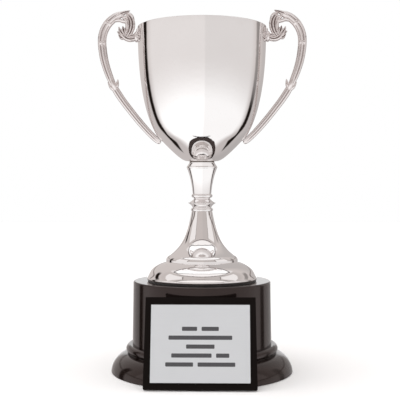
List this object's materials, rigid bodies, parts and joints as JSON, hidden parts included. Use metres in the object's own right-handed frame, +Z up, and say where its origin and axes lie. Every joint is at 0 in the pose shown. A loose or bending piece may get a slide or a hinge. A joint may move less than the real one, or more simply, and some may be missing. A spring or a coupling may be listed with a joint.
{
  "type": "cup trophy",
  "caption": "Two-handled presentation cup on a turned stem and domed foot, standing on a round black base with a leaning name plate.",
  "frame": {"origin": "centre of the round underside, on the surface that the trophy stands on", "axes": "+Z up along the stem, -Y towards the front with the name plate, +X and -X towards the two handles"},
  "size_m": [0.1668, 0.147, 0.2878],
  "materials": {
    "polished_metal": "mirror-polished plated metal",
    "cast_metal": "bright plated casting, softened relief",
    "zinc_steel": "zinc-plated steel",
    "fibre": "dark vulcanised fibre",
    "felt": "black felt",
    "black_gloss": "polished black moulding",
    "cast_iron": "raw casting",
    "board": "brown hardboard",
    "black_plate": "satin black with a bevelled edge",
    "foam": "black closed-cell foam",
    "silver_plate": "satin silver engraving plate",
    "tape": "clear adhesive film",
    "engraving_fill": "matt black fill"
  },
  "bodies": {
    "root": {"bowl": "polished_metal", "handle_left": "cast_metal", "handle_right": "cast_metal", "stem_vase": "polished_metal", "stem_knop": "polished_metal", "stem_trumpet": "polished_metal", "foot_dome": "polished_metal", "bowl_gasket": "fibre", "foot_gasket": "felt", "centre_rod": "zinc_steel", "bowl_nut": "zinc_steel", "bowl_washer": "zinc_steel", "handle_screws": "zinc_steel", "handle_washers": "fibre", "base_drum": "black_gloss", "base_plinth": "black_gloss", "base_weight": "cast_iron", "base_washer": "zinc_steel", "base_lock_washer": "zinc_steel", "base_nut": "zinc_steel", "base_cover": "board", "cover_screws": "zinc_steel", "base_felt": "felt", "plate_backer": "black_plate", "backer_pads": "foam", "name_plate": "silver_plate", "name_plate_tape": "tape", "name_plate_engraving": "engraving_fill"}
  },
  "joints": []
}
